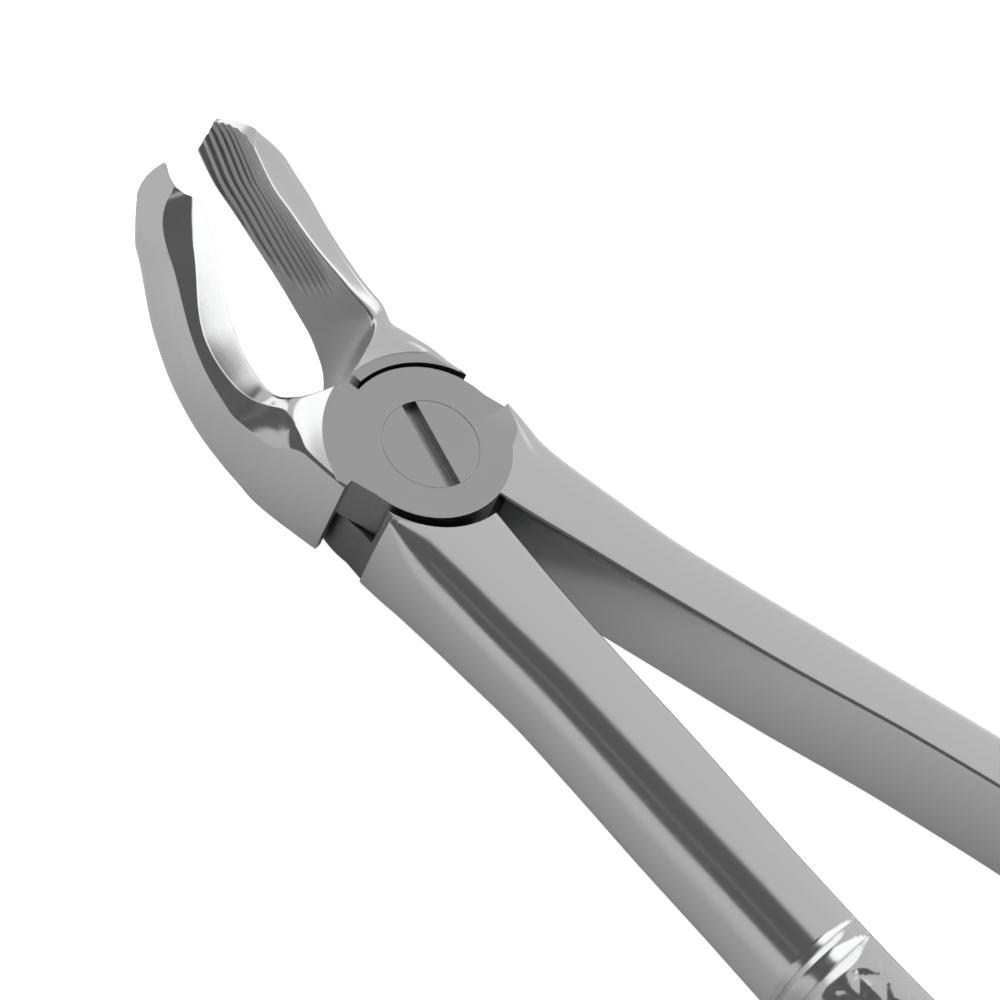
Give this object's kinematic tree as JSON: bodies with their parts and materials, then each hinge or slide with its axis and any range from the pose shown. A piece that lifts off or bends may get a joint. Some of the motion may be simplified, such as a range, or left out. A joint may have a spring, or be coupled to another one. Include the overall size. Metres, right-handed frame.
{
  "type": "extraction forceps",
  "caption": "Steel dental extraction forceps with a slotted pivot screw, up-curved beaks, one pointed and one broad and serrated, and ringed handles.",
  "frame": {"origin": "on the pivot screw's axis, on the flat back of the joint, where the screw's end is ground flush", "axes": "+Z along the pivot axis to the screw's slotted head, which is also the way the beaks bend; +X along the instrument to the beaks, the handles running to -X; +Y to the pointed beak"},
  "size_m": [0.1732, 0.0424, 0.0248],
  "materials": {
    "front_steel": "polished stainless steel, satin on the flat joint face",
    "rear_steel": "polished stainless steel, satin inside the beak",
    "screw_steel": "satin stainless steel, ground flush with the joint"
  },
  "bodies": {
    "rear": {"rear_half": "rear_steel", "pivot_screw": "screw_steel"},
    "front": {"front_half": "front_steel"}
  },
  "joints": [
    {"name": "pivot", "type": "hinge", "parent": "rear", "child": "front", "pos_m": [0, 0, 0.0056], "axis": [0, 0, 1], "range_deg": [-3, 24]}
  ]
}
